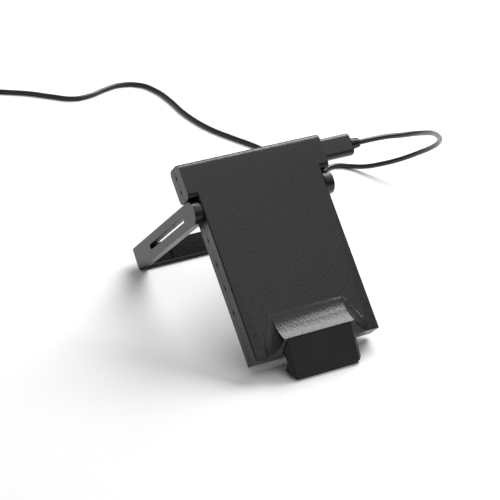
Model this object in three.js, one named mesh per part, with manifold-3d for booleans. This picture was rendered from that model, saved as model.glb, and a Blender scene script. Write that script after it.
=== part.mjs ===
// A folding charging stand: a slab with a coil inside, a ledge that holds a phone, a U-shaped
// kickstand on a friction hinge, and the USB cable that plugs into the slab's head.
// Millimetres. +X to the user's right, +Y away from the user, +Z up, the table at z = 0.
import * as THREE from 'three';
import { mergeVertices } from 'three/addons/utils/BufferGeometryUtils.js';
import Module from 'manifold-3d';

const wasm = await Module();
wasm.setup();

// ---- driving dimensions ----
const TILT = THREE.MathUtils.degToRad(44); // of the slab from the table
const EDGE_HEIGHT = 2.05; // of the slab's rear bottom edge above the table
const EDGE_Y = -60.2; // where that edge is, so that the origin is under the middle
const THICK = 14.4; // of the slab
const SEAM = 6.6; // height of the parting line above the slab's rear face
const GAP = 0.3; // between neighbours
const WALL = 1.8;
const BODY_WIDTH = 83.4; // of the slab between the kickstand's arms
const HEAD_WIDTH = 96; // of the head above them
const HEAD_BOTTOM = 103.5;
const HEAD_TOP = 125.6;
const HEAD_ROUND = 3.6;
const PIVOT_V = 96; // the hinge, up the slab
const PIVOT_N = 7.15; // and above its rear face
const ARM_HALF = 7.2; // half the depth of the kickstand's arm, and the knuckle's radius
const ARM_LENGTH = 101; // hinge to the foot's outer face
const FOOT_FLAT = 0.35; // how deep the foot's rubber edge is worn to a flat
const LEDGE_TOP = 24.4; // where the ramp leaves the slab's face
const LIP_V = 7.1; // the ramp's lower end
const LIP_RISE = 7.1; // and its height above the face
const LEDGE_HALF = 23.7; // half the width of the ledge
const SWOOP = 11; // width, at the lip, of the curve from the face out to each end of the ledge
const BOOT_FOOT_Y = -22.3; // the boot's front edge on the table, from the slab's edge
const PAD = 2.1; // height of the pad under the boot
const PLUG_V = 116.1; // the cable's plug, up the slab
const PLUG_N = 7.2;
const CABLE = 3.4; // cable diameter
const COIL_CENTRE = [-57.1, 352.6];
const COIL_TURNS = [15.6, 19.1]; // radii of the inner and the outer turns

const HEAD_MID = (HEAD_BOTTOM + HEAD_TOP) / 2;
const BODY_HALF = BODY_WIDTH / 2;
const HEAD_HALF = HEAD_WIDTH / 2;
const INNER_FRONT = THICK - WALL;

// ---- materials ----
const finish = (color, roughness, metalness = 0) =>
  new THREE.MeshStandardMaterial({ color, roughness, metalness });
const blackPlastic = () => finish(0x2b2b2c, 0.55);
const rubber = () => finish(0x161617, 0.85);
const steel = () => finish(0x9a9da0, 0.35, 1);
const copper = () => finish(0xb4652f, 0.4, 1);

// ---- solids ----
function solid(geometry) {
  const bare = geometry.clone();
  bare.deleteAttribute('normal');
  bare.deleteAttribute('uv');
  const merged = mergeVertices(bare, 1e-4);
  return new wasm.Manifold(
    new wasm.Mesh({
      numProp: 3,
      vertProperties: new Float32Array(merged.attributes.position.array),
      triVerts: new Uint32Array(merged.index.array),
    }),
  );
}

function geometryOf(manifold) {
  const mesh = manifold.getMesh();
  const geometry = new THREE.BufferGeometry();
  geometry.setAttribute('position', new THREE.BufferAttribute(mesh.vertProperties, 3));
  geometry.setIndex(new THREE.BufferAttribute(mesh.triVerts, 1));
  geometry.computeVertexNormals();
  return geometry;
}

// a box from its low corner to its high corner
function block(low, high) {
  const size = high.map((h, i) => h - low[i]);
  const box = new THREE.BoxGeometry(...size);
  box.translate(...low.map((l, i) => l + size[i] / 2));
  return solid(box);
}

function shapeOf(points) {
  return new THREE.Shape(points.map(([a, b]) => new THREE.Vector2(a, b)));
}

// an outline in the plane of Y and Z, drawn from x = from to x = to
function alongX(shape, from, to, curveSegments = 6) {
  const geometry = new THREE.ExtrudeGeometry(shape, {
    depth: to - from,
    bevelEnabled: false,
    curveSegments,
  });
  geometry.translate(0, 0, from);
  const turn = new THREE.Matrix4().set(0, 0, 1, 0, 1, 0, 0, 0, 0, 1, 0, 0, 0, 0, 0, 1);
  geometry.applyMatrix4(turn);
  return solid(geometry);
}

// an outline in the plane of X and Z, drawn from y = from to y = to
function alongY(shape, from, to, curveSegments = 6) {
  const geometry = new THREE.ExtrudeGeometry(shape, {
    depth: to - from,
    bevelEnabled: false,
    curveSegments,
  });
  geometry.rotateX(Math.PI / 2);
  geometry.translate(0, to, 0);
  return solid(geometry);
}

// an outline in the plane of X and Y, drawn from z = from to z = to
function alongZ(shape, from, to, curveSegments = 6) {
  const geometry = new THREE.ExtrudeGeometry(shape, {
    depth: to - from,
    bevelEnabled: false,
    curveSegments,
  });
  geometry.translate(0, 0, from);
  return solid(geometry);
}

function roundedRect(lowA, lowB, highA, highB, radius) {
  const shape = new THREE.Shape();
  const arc = (a, b, start) =>
    shape.absarc(a, b, radius, (start * Math.PI) / 2, ((start + 1) * Math.PI) / 2, false);
  arc(highA - radius, highB - radius, 0);
  arc(lowA + radius, highB - radius, 1);
  arc(lowA + radius, lowB + radius, 2);
  arc(highA - radius, lowB + radius, 3);
  return shape;
}

// a round bar along X
function barX(radius, from, to, y, z, sides = 20) {
  const geometry = new THREE.CylinderGeometry(radius, radius, to - from, sides);
  geometry.rotateZ(Math.PI / 2);
  geometry.translate((from + to) / 2, y, z);
  return solid(geometry);
}

// a round bar along Z
function barZ(radius, from, to, x, y, sides = 16) {
  const geometry = new THREE.CylinderGeometry(radius, radius, to - from, sides);
  geometry.rotateX(Math.PI / 2);
  geometry.translate(x, y, (from + to) / 2);
  return solid(geometry);
}

function tubeAlong(points, diameter, steps, sides = 8) {
  const path = new THREE.CatmullRomCurve3(
    points.map((p) => new THREE.Vector3(...p)),
    false,
    'centripetal',
  );
  const section = new THREE.Shape();
  for (let i = 0; i < sides; i += 1) {
    const angle = (2 * Math.PI * i) / sides;
    const x = (diameter / 2) * Math.cos(angle);
    const y = (diameter / 2) * Math.sin(angle);
    if (i === 0) section.moveTo(x, y);
    else section.lineTo(x, y);
  }
  return new THREE.ExtrudeGeometry(section, { steps, extrudePath: path, curveSegments: 1 });
}

// ---- the groups ----
// Inside slab: X across, Y up the slab, Z out of its face, with the rear bottom edge at zero.
const stand = new THREE.Group();
const slab = new THREE.Group();
slab.rotation.x = TILT;
slab.position.set(0, EDGE_Y, EDGE_HEIGHT);
stand.add(slab);

function toWorld(v, n) {
  return {
    y: EDGE_Y + v * Math.cos(TILT) - n * Math.sin(TILT),
    z: EDGE_HEIGHT + v * Math.sin(TILT) + n * Math.cos(TILT),
  };
}

// y counts from the slab's edge
function toSlab(y, z) {
  const up = z - EDGE_HEIGHT;
  return [
    y * Math.cos(TILT) + up * Math.sin(TILT),
    -y * Math.sin(TILT) + up * Math.cos(TILT),
  ];
}

function put(group, name, shape, material) {
  const geometry = shape instanceof THREE.BufferGeometry ? shape : geometryOf(shape);
  const mesh = new THREE.Mesh(geometry, material);
  mesh.name = name;
  group.add(mesh);
  return mesh;
}

// Inside kickstand: Y along the arms to the foot, Z out of the side that faces the rear when it
// is folded, with the hinge at zero. It stands open, with the foot's edge on the table.
const pivot = toWorld(PIVOT_V, PIVOT_N);
const reach = Math.hypot(ARM_LENGTH, ARM_HALF);
const armAngle =
  Math.asin((pivot.z + FOOT_FLAT) / reach) - Math.atan2(ARM_HALF, ARM_LENGTH);
const kickstand = new THREE.Group();
kickstand.rotation.x = -armAngle;
kickstand.position.set(0, pivot.y, pivot.z);
stand.add(kickstand);

// ---- covers ----
function slabOutside(inset) {
  const section = alongX(
    roundedRect(inset, inset, HEAD_MID, THICK - inset, 0.9),
    -BODY_HALF + inset,
    BODY_HALF - inset,
    4,
  );
  const plan = alongY(
    roundedRect(-BODY_HALF + inset, inset, BODY_HALF - inset, THICK - inset, 0.9),
    inset - 1,
    HEAD_MID + 1,
    4,
  );
  const body = section.intersect(plan);
  const head = alongX(
    roundedRect(
      HEAD_BOTTOM + inset, inset, HEAD_TOP - inset, THICK - inset, HEAD_ROUND - inset,
    ),
    -HEAD_HALF + inset,
    HEAD_HALF - inset,
    8,
  );
  return body.add(head);
}

// The ledge's ramp leaves the face almost level and steepens to the lip. At its two ends it
// falls away to the face in a hollow curve, narrow at the top and wide at the lip.
function rampAlong(v) {
  return Math.max((LEDGE_TOP - v) / (LEDGE_TOP - LIP_V), 0);
}

function rampRise(v) {
  const along = rampAlong(v);
  return LIP_RISE * (0.1 * along + 0.9 * along ** 2.3);
}

function ledgeHill() {
  const up = 10;
  const low = THICK - WALL / 2;
  const half = [0, 0.03, 0.1, 0.2, 0.34, 0.5, 0.7, 1];
  const columns = [...half.map((p) => [-1, p]).reverse(), ...half.map((p) => [1, p])];
  const across = columns.length - 1;
  const base = new THREE.BoxGeometry(across, LEDGE_TOP, 1, across, up, 1);
  const place = base.attributes.position;
  for (let i = 0; i < place.count; i += 1) {
    const [side, past] = columns[Math.round(place.getX(i) + across / 2)];
    const v = place.getY(i) + LEDGE_TOP / 2;
    const spread = 0.15 + 0.85 * Math.min(rampAlong(v), 1);
    const fall = 1 - Math.sqrt(1 - (1 - past) * (1 - past));
    const top = THICK + 0.02 + rampRise(v) * fall;
    const x = side * (LEDGE_HALF + SWOOP * past * spread);
    place.setXYZ(i, x, v, place.getZ(i) > 0 ? top : low);
  }
  return solid(base);
}

// The boot meets the ramp along a slanting plane, from the slab's front edge out to the lip.
const bootPlane = alongX(
  shapeOf([
    [0, THICK - 4],
    [0, THICK],
    [LIP_V + 3, THICK + LIP_RISE + 3],
    [LEDGE_TOP + 4, THICK + LIP_RISE + 3],
    [LEDGE_TOP + 4, THICK - 4],
  ]),
  -LEDGE_HALF - SWOOP - 1,
  LEDGE_HALF + SWOOP + 1,
);

const boardPosts = [[-31.4, 110.6], [25, 111]];
const slabSolid = slabOutside(0);
const hollow = slabOutside(WALL);
const screwPlaces = [-1, 1].flatMap((side) => [
  [side * 34, 7],
  [side * 34, 78],
  [side * 38.4, 106.9],
]);

// Slots along the parting line: four down each side of the body and two on each end of the head.
function ventSlots() {
  const half = 1.4;
  const height = 0.7;
  const places = [-1, 1].flatMap((side) => [
    ...[32.3, 47.5, 62.6, 77.8].map((v) => [side * BODY_HALF, v]),
    ...[110, 119].map((v) => [side * HEAD_HALF, v]),
  ]);
  return places.map(([x, v]) =>
    block([x - 2.5, v - half, SEAM - height], [x + 2.5, v + half, SEAM + height]),
  );
}

function withHoles(shape, holes) {
  return holes.reduce((left, hole) => left.subtract(hole), shape);
}

const pinHole = (side) =>
  barX(2.7, side > 0 ? 36 : -BODY_HALF - 2, side > 0 ? BODY_HALF + 2 : -36, PIVOT_V, PIVOT_N);
const portHole = alongX(
  roundedRect(PLUG_V - 5.2, PLUG_N - 2.1, PLUG_V + 5.2, PLUG_N + 2.1, 2), 40, HEAD_HALF + 2, 4,
);
const openings = [pinHole(-1), pinHole(1), portHole, ...ventSlots()];

const frontHalf = block([-60, -10, SEAM + GAP / 2], [60, HEAD_TOP + 5, THICK + 20]);
const rearHalf = block([-60, -10, -5], [60, HEAD_TOP + 5, SEAM - GAP / 2]);

const ledge = ledgeHill().intersect(bootPlane);
let frontCover = slabSolid.intersect(frontHalf).subtract(hollow);
for (const [x, v] of screwPlaces) {
  frontCover = frontCover.add(barZ(2.6, SEAM + GAP / 2, THICK - WALL / 2, x, v));
}
frontCover = frontCover.add(ledge);
frontCover = withHoles(frontCover, openings);
for (const [x, v] of screwPlaces) {
  frontCover = frontCover.subtract(barZ(1.3, 0, 11.6, x, v));
}
put(slab, 'front_cover', frontCover, blackPlastic());

let rearCover = slabSolid.intersect(rearHalf).subtract(hollow);
for (const [x, v] of screwPlaces) {
  rearCover = rearCover.add(barZ(3.4, WALL / 2, SEAM - GAP / 2, x, v));
}
for (const [x, v] of boardPosts) {
  rearCover = rearCover.add(barZ(2.2, WALL / 2, 3.3, x, v));
  rearCover = rearCover.subtract(barZ(1.1, WALL, 4, x, v));
}
rearCover = withHoles(rearCover, openings);
for (const [x, v] of screwPlaces) {
  rearCover = rearCover.subtract(barZ(1.3, -1, 8, x, v));
  rearCover = rearCover.subtract(barZ(2.4, -1, 2.6, x, v));
}
put(slab, 'rear_cover', rearCover, blackPlastic());

// Self-tapping screw, its head sunk in the rear cover.
function screw() {
  const profile = [
    [0, 0.9], [1.0, 0.9], [1.9, 1.2], [1.9, 2.3], [0.95, 2.3], [0.95, 10.6], [0, 11.3],
  ];
  const geometry = new THREE.LatheGeometry(
    profile.map(([r, n]) => new THREE.Vector2(r, n)), 12,
  );
  geometry.rotateX(Math.PI / 2);
  return geometry;
}

screwPlaces.forEach(([x, v], i) => {
  put(slab, `cover_screw_${i + 1}`, screw(), steel()).position.set(x, v, 0);
});

// ---- the boot under the ledge ----
const slant = GAP * Math.SQRT2;
const bootLip = [LIP_V - slant - 0.3, THICK + LIP_RISE - 0.3];
const bootFront = toSlab(BOOT_FOOT_Y, PAD + GAP);
const bootProfile = shapeOf([
  bootLip,
  [GAP - slant, THICK + GAP],
  [-5.7, THICK + GAP],
  toSlab(BOOT_FOOT_Y + 9.6, PAD + GAP),
  bootFront,
]);
const cornerCut = 2.6;

// The two front corners are cut off along the boot's sloping front.
function cornerWedge(side) {
  const edge = side * LEDGE_HALF;
  const shape = shapeOf([
    [edge - side * (cornerCut + 1), -1],
    [edge + side, -1],
    [edge + side, cornerCut + 1],
  ]);
  const geometry = new THREE.ExtrudeGeometry(shape, { depth: 40, bevelEnabled: false });
  const upFront = new THREE.Vector3(0, bootLip[0] - bootFront[0], bootLip[1] - bootFront[1]);
  upFront.normalize();
  const across = new THREE.Vector3(1, 0, 0);
  const inward = new THREE.Vector3().crossVectors(upFront, across);
  geometry.translate(0, 0, -6);
  geometry.applyMatrix4(new THREE.Matrix4().makeBasis(across, inward, upFront));
  geometry.translate(0, bootFront[0], bootFront[1]);
  return solid(geometry);
}
const boot = alongX(bootProfile, -LEDGE_HALF, LEDGE_HALF)
  .subtract(cornerWedge(-1))
  .subtract(cornerWedge(1));
put(slab, 'ledge_boot', boot, rubber());

const padInset = 2.9;
put(
  stand,
  'boot_pad',
  block(
    [-LEDGE_HALF + padInset, EDGE_Y + BOOT_FOOT_Y + 0.8, 0],
    [LEDGE_HALF - padInset, EDGE_Y + BOOT_FOOT_Y + 8.6, PAD],
  ),
  rubber(),
);

// ---- kickstand ----
const footWall = 2.6; // the foot's wall beside the arms
const footThick = 3.6; // and between them
const footMid = 23.5;
const stripDeep = 1.7;
const armOut = HEAD_HALF - 0.4;
const armProfile = new THREE.Shape();
armProfile.absarc(0, 0, ARM_HALF, Math.PI / 2, (3 * Math.PI) / 2, false);
armProfile.lineTo(ARM_LENGTH, -ARM_HALF);
armProfile.lineTo(ARM_LENGTH, ARM_HALF - 0.8);
armProfile.lineTo(ARM_LENGTH - 0.8, ARM_HALF);
const slot = roundedRect(11, -1.6, 72.4, 1.8, 1.69);

function arm(side) {
  const inner = BODY_HALF + GAP;
  const span = (grow) =>
    side > 0 ? [inner - grow, armOut + grow] : [-armOut - grow, -inner + grow];
  return alongX(armProfile, ...span(0), 14).subtract(alongX(slot, ...span(1), 6));
}

const wall = block(
  [-HEAD_HALF + 4, ARM_LENGTH - footWall, -ARM_HALF],
  [HEAD_HALF - 4, ARM_LENGTH, ARM_HALF],
).add(
  block([-footMid, ARM_LENGTH - footThick, -ARM_HALF], [footMid, ARM_LENGTH, ARM_HALF]),
);
const stripBack = 4.4; // from the foot's outer face to the strip's inner end, at the arms
const stripNear = BODY_HALF + 0.8; // where the strip steps back to pass under the slab
function stripBlock(grow) {
  const low = -ARM_HALF - 4 * grow;
  const high = -ARM_HALF + stripDeep - GAP + grow;
  const end = ARM_LENGTH + 4 * grow;
  const full = block(
    [-armOut - 4 * grow, ARM_LENGTH - footThick - grow, low],
    [armOut + 4 * grow, end, high],
  );
  const side = (a, b) =>
    block([Math.min(a, b), ARM_LENGTH - stripBack - grow, low], [Math.max(a, b), end, high]);
  return full
    .add(side(stripNear - grow, armOut + 4 * grow))
    .add(side(-stripNear + grow, -armOut - 4 * grow));
}
const pinSeat = (side) =>
  barX(2.25 + GAP / 2, side > 0 ? 40 : -46, side > 0 ? 46 : -40, 0, 0, 24);
const bail = arm(-1)
  .add(arm(1))
  .add(wall)
  .subtract(stripBlock(GAP))
  .subtract(pinSeat(-1))
  .subtract(pinSeat(1));
put(kickstand, 'kickstand_frame', bail, blackPlastic());

// The rubber strip's lower edge is cut flat where it stands on the table.
const flatCut = new THREE.BoxGeometry(120, 20, 20);
flatCut.translate(0, 0, -10);
flatCut.rotateX(armAngle);
flatCut.translate(
  0,
  ARM_LENGTH - FOOT_FLAT * Math.sin(armAngle),
  -ARM_HALF + FOOT_FLAT * Math.cos(armAngle),
);
put(kickstand, 'foot_strip', stripBlock(0).subtract(solid(flatCut)), rubber());

// ---- hinge: a headed pin through a bush in each side of the slab ----
for (const side of [-1, 1]) {
  const name = side < 0 ? 'left' : 'right';
  const span = (a, b) => (side > 0 ? [a, b] : [-b, -a]);
  const shaft = barX(2.25, ...span(31, 45.7), 0, 0);
  const head = barX(4, ...span(30, 31.2), 0, 0);
  put(kickstand, `hinge_pin_${name}`, shaft.add(head), steel());
  const ring = (outer, inner, from, to) =>
    barX(outer, ...span(from, to), PIVOT_V, PIVOT_N).subtract(
      barX(inner, ...span(from - 1, to + 1), PIVOT_V, PIVOT_N),
    );
  put(slab, `friction_washer_${name}`, ring(4, 2.6, 31.5, 32.3), steel());
  put(slab, `hinge_bush_${name}`, ring(4.6, 2.6, 32.6, 39.5), finish(0xa08040, 0.4, 1));
}

// ---- charging parts ----
function ringZ(outer, inner, low, high, x, v) {
  return barZ(outer, low, high, x, v, 40).subtract(barZ(inner, low - 1, high + 1, x, v, 40));
}
put(slab, 'coil_lower', ringZ(22, 10, 9.4, 10.5, 0, 44), copper());
put(slab, 'coil_upper', ringZ(22, 10, 10.8, 11.9, 0, 70), copper());
put(
  slab, 'ferrite_sheet', alongZ(roundedRect(-27, 19, 27, 95, 3), 8.2, 9.1), finish(0x3a3b3d, 0.7),
);
const carrier = alongZ(roundedRect(-29, 16, 29, 90, 3), 6.6, 7.9).subtract(
  block([-22, 30, 6], [22, 84, 9]),
);
put(slab, 'coil_carrier', carrier, finish(0xd8d8d4, 0.6));
put(
  slab, 'heat_spreader', alongZ(roundedRect(-29, 14, 29, 92, 2), 2.2, 3), finish(0xb8bbbe, 0.4, 1),
);

// ---- circuit board in the head ----
let board = block([-34, 108, 3.6], [34.6, 122.4, 4.8]).add(
  block([34, 111, 3.6], [44.2, 122.4, 4.8]),
);
for (const [x, v] of boardPosts) {
  board = board.subtract(barZ(1.2, 3, 6, x, v));
}
put(slab, 'circuit_board', board, finish(0x1d5a38, 0.5));

function boardScrew() {
  const profile = [[0, 2.3], [0.85, 2.3], [0.85, 5.1], [1.7, 5.1], [1.7, 6], [1.2, 6.3], [0, 6.3]];
  const geometry = new THREE.LatheGeometry(
    profile.map(([r, n]) => new THREE.Vector2(r, n)), 12,
  );
  geometry.rotateX(Math.PI / 2);
  return geometry;
}
boardPosts.forEach(([x, v], i) => {
  put(slab, `board_screw_${i + 1}`, boardScrew(), steel()).position.set(x, v, 0);
});
put(slab, 'shield_can', block([-12, 110.5, 5.1], [6, 121, 8.1]), steel());
put(slab, 'power_inductor', block([-23, 112, 5.1], [-16, 119, 8.6]), finish(0x2f2f31, 0.6));
const capacitorPlaces = [[-28, 114.6], [-28, 119.4], [12, 112], [12, 118]];
capacitorPlaces.forEach(([x, v], i) => {
  put(
    slab,
    `capacitor_${i + 1}`,
    block([x - 1.6, v - 1.6, 5.1], [x + 1.6, v + 1.6, 6.9]),
    finish(0xb59a6c, 0.6),
  );
});
put(slab, 'thermal_pad', block([-11, 111.5, 8.4], [5, 120, 12.3]), finish(0x8f9aa5, 0.8));

const socketShell = (half, height, from, to, radius) =>
  alongX(
    roundedRect(PLUG_V - half, PLUG_N - height, PLUG_V + half, PLUG_N + height, radius),
    from,
    to,
    4,
  );
const receptacle = socketShell(4.8, 1.85, 36.5, 45.8, 1.8).subtract(
  socketShell(4.4, 1.45, 37.5, 46.5, 1.4),
);
put(slab, 'usb_c_socket', receptacle, steel());
put(
  slab,
  'socket_tongue',
  block([37.8, PLUG_V - 3.3, 6.85], [44.9, PLUG_V + 3.3, 7.55]),
  finish(0x1b1b1c, 0.5),
);

// ---- the cable's plug in the head ----
const plugShell = socketShell(4.1, 1.2, 39.4, 48.5, 1.18).subtract(
  socketShell(3.75, 0.85, 38, 47.7, 0.83),
);
put(slab, 'usb_c_plug_shell', plugShell, steel());
const overmold = alongX(
  roundedRect(PLUG_V - 7, PLUG_N - 3.7, PLUG_V + 7, PLUG_N + 3.7, 2.9), 48.8, 70.4, 8,
);
put(slab, 'usb_c_plug', overmold, blackPlastic());
const sleeveProfile = [[0, 70.7], [3.7, 70.7], [3.7, 72.4], [3.4, 73.2], [2.9, 76.6], [0, 76.6]];
const sleeve = new THREE.LatheGeometry(
  sleeveProfile.map(([r, x]) => new THREE.Vector2(r, x)), 20,
);
sleeve.rotateZ(-Math.PI / 2);
put(slab, 'strain_relief', sleeve, rubber()).position.set(0, PLUG_V, PLUG_N);

// ---- the cable's route: out of the plug, over and down behind the stand, away on the table ----
const lying = CABLE / 2 + 0.05;
const plugAxis = toWorld(PLUG_V, PLUG_N);
const route = [
  [76.9, plugAxis.y, plugAxis.z],
  [86, plugAxis.y, plugAxis.z],
  [98, 19.3, 86.9],
  [110, 21.6, 84.2],
  [123, 26.2, 80.5],
  [137, 33.8, 74.8],
  [150, 42.6, 68],
  [162, 52.6, 59],
  [171, 62.6, 50],
  [176, 72.6, 41],
  [177.5, 82.6, 33],
  [176, 92.6, 25.5],
  [170, 104.6, 16.5],
  [162, 115.6, 9.5],
  [154, 126.6, 4],
  [147.5, 135.1, 1.9],
  [140.5, 140.1, lying],
  [133, 139.6, lying],
  [124, 134.6, lying],
  [114.5, 135.1, lying],
  [108.5, 143.6, lying],
  [107.5, 160.6, lying],
  [106.5, 178.6, lying],
  [102.5, 193.6, lying],
  [96, 208.4, lying],
  [86.4, 233.6, lying],
  [82, 262.6, lying],
  [82.3, 290.6, lying],
  [80.5, 308.6, lying],
  [74, 323.6, lying],
  [60, 330.1, lying],
  [45, 327.1, lying],
  [31, 322.4, lying],
  [18, 322.8, lying],
  [4, 334.1, lying],
  [-8, 345.4, lying],
  [-27, 358.3, lying],
  [-39.1, 366.6, lying],
];
put(stand, 'cable', tubeAlong(route, CABLE, 80), rubber());

// The spare length is wound in a ring, two turns wide and two high.
const ringProfile = roundedRect(
  COIL_TURNS[0] - CABLE / 2,
  0.05,
  COIL_TURNS[1] + CABLE / 2,
  2 * CABLE + 0.1,
  1.3,
);
const ringPoints = ringProfile.getPoints(2);
ringPoints.push(ringPoints[0].clone());
const cableCoil = new THREE.LatheGeometry(ringPoints, 32);
cableCoil.rotateX(Math.PI / 2);
put(stand, 'cable_coil', cableCoil, rubber()).position.set(...COIL_CENTRE, 0);

// A strap over the ring, with its two legs down to the table.
const strapHalf = 3;
const strapOut = COIL_TURNS[1] + CABLE / 2 + GAP;
const strapIn = Math.sqrt((COIL_TURNS[0] - CABLE / 2) ** 2 - strapHalf ** 2) - 1.3 * GAP;
const strapTop = 2 * CABLE + 0.1 + GAP;
const strap = block(
  [-strapOut - 0.8, -strapHalf, 0],
  [-strapIn + 0.8, strapHalf, strapTop + 0.8],
).subtract(block([-strapOut, -strapHalf - 1, -1], [-strapIn, strapHalf + 1, strapTop]));
put(stand, 'cable_strap', strap, rubber()).position.set(...COIL_CENTRE, 0);

// ---- the far plug, lying beside the coil ----
const FAR_X = -90;
const FAR_Y = 352; // where the cable enters its strain relief
const farHeight = 3.95;
const tail = [
  [-63, 374.7, 1.9],
  [-72, 374.6, 2.2],
  [-80.5, 370.5, 2.8],
  [-87, 363.5, 3.5],
  [FAR_X, 356.5, farHeight],
  [FAR_X, FAR_Y + GAP, farHeight],
];
put(stand, 'cable_tail', tubeAlong(tail, CABLE, 8), rubber());
const farPlug = new THREE.Group();
farPlug.position.set(FAR_X, FAR_Y, farHeight);
farPlug.rotation.z = -Math.PI / 2;
stand.add(farPlug);
const farSleeve = new THREE.LatheGeometry(
  [[0, 0], [2.6, 0], [3.2, 7], [3.2, 8], [0, 8]].map(([r, x]) => new THREE.Vector2(r, x)), 16,
);
farSleeve.rotateZ(-Math.PI / 2);
put(farPlug, 'usb_a_strain_relief', farSleeve, rubber());
put(
  farPlug, 'usb_a_plug', alongX(roundedRect(-7.7, -3.9, 7.7, 3.9, 2.4), 8.3, 31, 4), blackPlastic(),
);
const farShell = block([31.3, -6, -2.25], [50, 6, 2.25]).subtract(
  block([32.5, -5.7, -1.95], [51, 5.7, 1.95]),
);
put(farPlug, 'usb_a_shell', farShell, steel());
put(farPlug, 'usb_a_tongue', block([32.8, -5.4, -1.65], [49.6, 5.4, 0.1]), finish(0xe8e8e4, 0.5));

export default stand;
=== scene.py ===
import math

import bmesh
import bpy
from mathutils import Matrix, Vector


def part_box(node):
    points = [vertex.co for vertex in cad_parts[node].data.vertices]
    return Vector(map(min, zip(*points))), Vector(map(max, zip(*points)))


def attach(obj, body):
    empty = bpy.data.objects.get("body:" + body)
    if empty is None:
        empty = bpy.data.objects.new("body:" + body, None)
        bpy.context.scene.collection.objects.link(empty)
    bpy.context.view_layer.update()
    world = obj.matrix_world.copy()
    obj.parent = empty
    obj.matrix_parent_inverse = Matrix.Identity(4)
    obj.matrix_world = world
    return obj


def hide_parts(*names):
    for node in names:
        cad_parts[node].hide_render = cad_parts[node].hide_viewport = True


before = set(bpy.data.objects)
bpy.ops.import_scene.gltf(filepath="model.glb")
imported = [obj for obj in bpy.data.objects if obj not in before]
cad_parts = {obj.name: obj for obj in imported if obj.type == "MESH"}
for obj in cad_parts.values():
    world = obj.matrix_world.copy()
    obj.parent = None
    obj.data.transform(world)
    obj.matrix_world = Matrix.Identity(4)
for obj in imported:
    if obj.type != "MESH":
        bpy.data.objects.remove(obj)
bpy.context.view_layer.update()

# ---- Camera ----
# A long lens on a tripod, in front of the stand and to its left, looking down at it.
camera_place = Vector((-0.47712, -0.82233, 0.58116))
camera_azimuth = math.radians(-29.68)
camera_height = math.radians(29.67)
camera_roll = math.radians(1.75)
back = Vector(
    (
        math.sin(camera_azimuth) * math.cos(camera_height),
        -math.cos(camera_azimuth) * math.cos(camera_height),
        math.sin(camera_height),
    )
)
level = Vector((math.cos(camera_azimuth), math.sin(camera_azimuth), 0))
upright = back.cross(level)
right = level * math.cos(camera_roll) + upright * math.sin(camera_roll)
up = upright * math.cos(camera_roll) - level * math.sin(camera_roll)
camera_data = bpy.data.cameras.new("camera")
camera_data.lens = 129.92
camera_data.sensor_width = 36
camera_data.clip_start = 0.01
camera_data.clip_end = 20
camera = bpy.data.objects.new("camera", camera_data)
camera.matrix_world = Matrix.Translation(camera_place) @ Matrix((right, up, back)).transposed().to_4x4()
bpy.context.scene.collection.objects.link(camera)
bpy.context.scene.camera = camera

# ---- Cable ----
# A round flex in a soft black jacket. It leaves the plug sideways, bends over and down behind
# the stand under its own weight, and wanders off over the table to its wound spare length.
cable_diameter = 0.0034
# from the plug to the wound part, in millimetres
cable_route = [
    (76.9, 18.31, 87.88),
    (86, 18.31, 87.88),
    (98, 19.3, 86.9),
    (110, 21.6, 84.2),
    (123, 26.2, 80.5),
    (137, 33.8, 74.8),
    (150, 42.6, 68),
    (162, 52.6, 59),
    (171, 62.6, 50),
    (176, 72.6, 41),
    (177.5, 82.6, 33),
    (176, 92.6, 25.5),
    (170, 104.6, 16.5),
    (162, 115.6, 9.5),
    (154, 126.6, 4),
    (147.5, 135.1, 1.9),
    (140.5, 140.1, 1.75),
    (133, 139.6, 1.75),
    (124, 134.6, 1.75),
    (114.5, 135.1, 1.75),
    (108.5, 143.6, 1.75),
    (107.5, 160.6, 1.75),
    (106.5, 178.6, 1.75),
    (102.5, 193.6, 1.75),
    (96, 208.4, 1.75),
    (86.4, 233.6, 1.75),
    (82, 262.6, 1.75),
    (82.3, 290.6, 1.75),
    (80.5, 308.6, 1.75),
    (74, 323.6, 1.75),
    (60, 330.1, 1.75),
    (45, 327.1, 1.75),
    (31, 322.4, 1.75),
    (18, 322.8, 1.75),
    (4, 334.1, 1.75),
    (-8, 345.4, 1.75),
    (-27, 358.3, 1.75),
    (-39.1, 366.6, 1.75),
]
cable_points = [Vector(p) / 1000 for p in cable_route]

# the spare length: four turns, two wide and two high, wound from the low outer turn inwards
coil_low, coil_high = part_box("cable_coil")
coil_centre = (coil_low + coil_high) / 2
outer_turn = (coil_high.x - coil_low.x) / 2 - cable_diameter / 2
turn_spacing = 0.0035
layer_spacing = 0.00345
inner_turn = outer_turn - turn_spacing
low_turn = 0.00175
high_turn = low_turn + layer_spacing
turns = [
    (outer_turn, low_turn),
    (inner_turn, low_turn),
    (inner_turn, high_turn),
    (outer_turn, high_turn),
]
steps = 16
slip_from = 0.75
coil_start = math.radians(75)
coil_end = math.radians(98)
for turn in range(len(turns)):
    for step in range(steps):
        # each turn keeps its place and slips to the next one over its last quarter
        along = min(max((step - slip_from * steps) / ((1 - slip_from) * steps), 0), 1)
        here = turns[turn]
        following = turns[min(turn + 1, len(turns) - 1)]
        radius = here[0] + (following[0] - here[0]) * along
        height = here[1] + (following[1] - here[1]) * along
        angle = coil_start + 2 * math.pi * (turn + step / steps)
        turn_place = Vector((radius * math.cos(angle), radius * math.sin(angle), 0))
        turn_place += Vector((coil_centre.x, coil_centre.y, height))
        cable_points.append(turn_place)
for angle in (coil_start, coil_end):
    end_place = Vector((outer_turn * math.cos(angle), outer_turn * math.sin(angle), 0))
    cable_points.append(end_place + Vector((coil_centre.x, coil_centre.y, high_turn)))
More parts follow.
